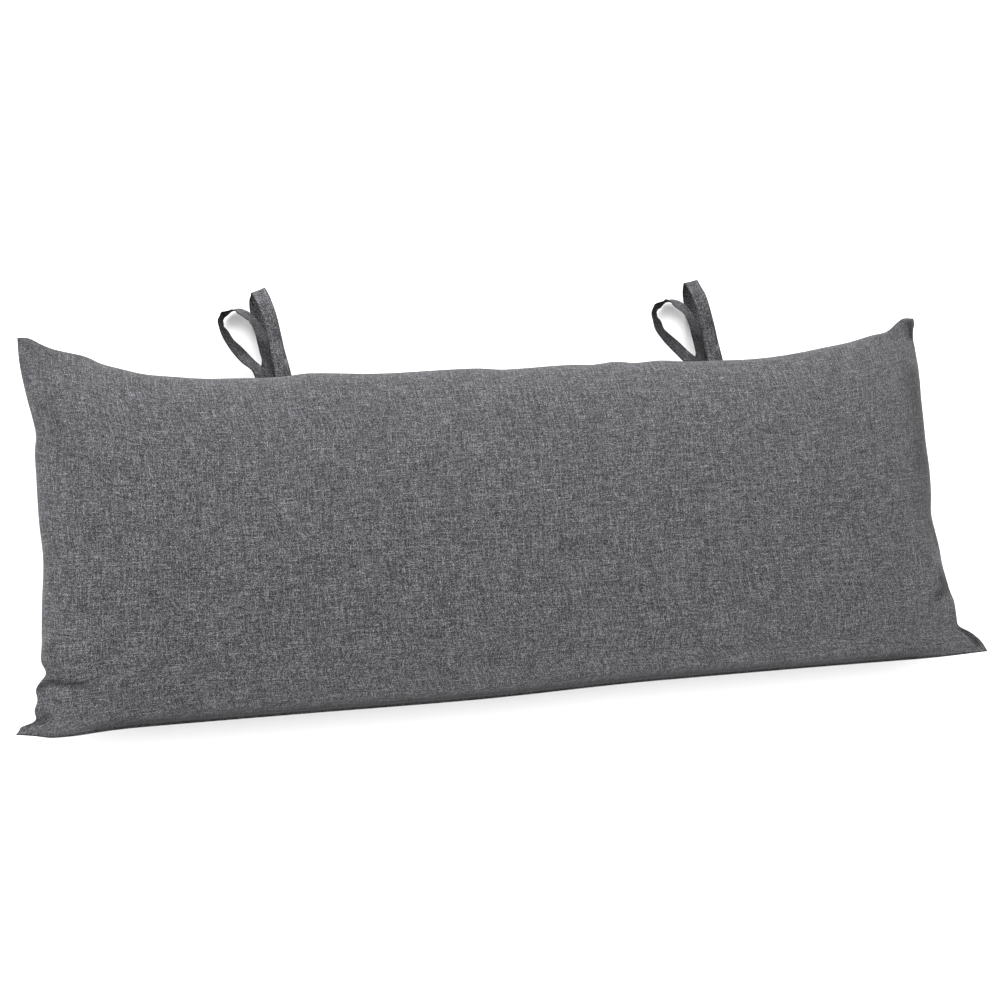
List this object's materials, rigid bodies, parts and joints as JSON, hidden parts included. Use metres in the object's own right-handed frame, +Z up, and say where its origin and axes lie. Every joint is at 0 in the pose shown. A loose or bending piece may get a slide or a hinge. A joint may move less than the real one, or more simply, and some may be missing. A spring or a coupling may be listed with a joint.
{
  "type": "hammock pillow",
  "caption": "Long rectangular filled pillow with flat corner ears and fabric loop ties sewn into one long seam, for the head end of a hammock.",
  "frame": {"origin": "middle of the flat back where the pillow rests", "axes": "+X along the pillow, +Y across it towards the long seam with the ties, +Z up out of the front face"},
  "size_m": [1.272, 0.6024, 0.1612],
  "materials": {
    "pillow_cloth": "matt plain weave in dark heather grey yarns",
    "tie_cloth": "matt plain weave in dark heather grey yarns, folded and edge stitched"
  },
  "bodies": {
    "root": {"pillow": "pillow_cloth", "tie_left_broad": "tie_cloth", "tie_left_teardrop": "tie_cloth", "tie_right_broad": "tie_cloth", "tie_right_teardrop": "tie_cloth"}
  },
  "joints": []
}
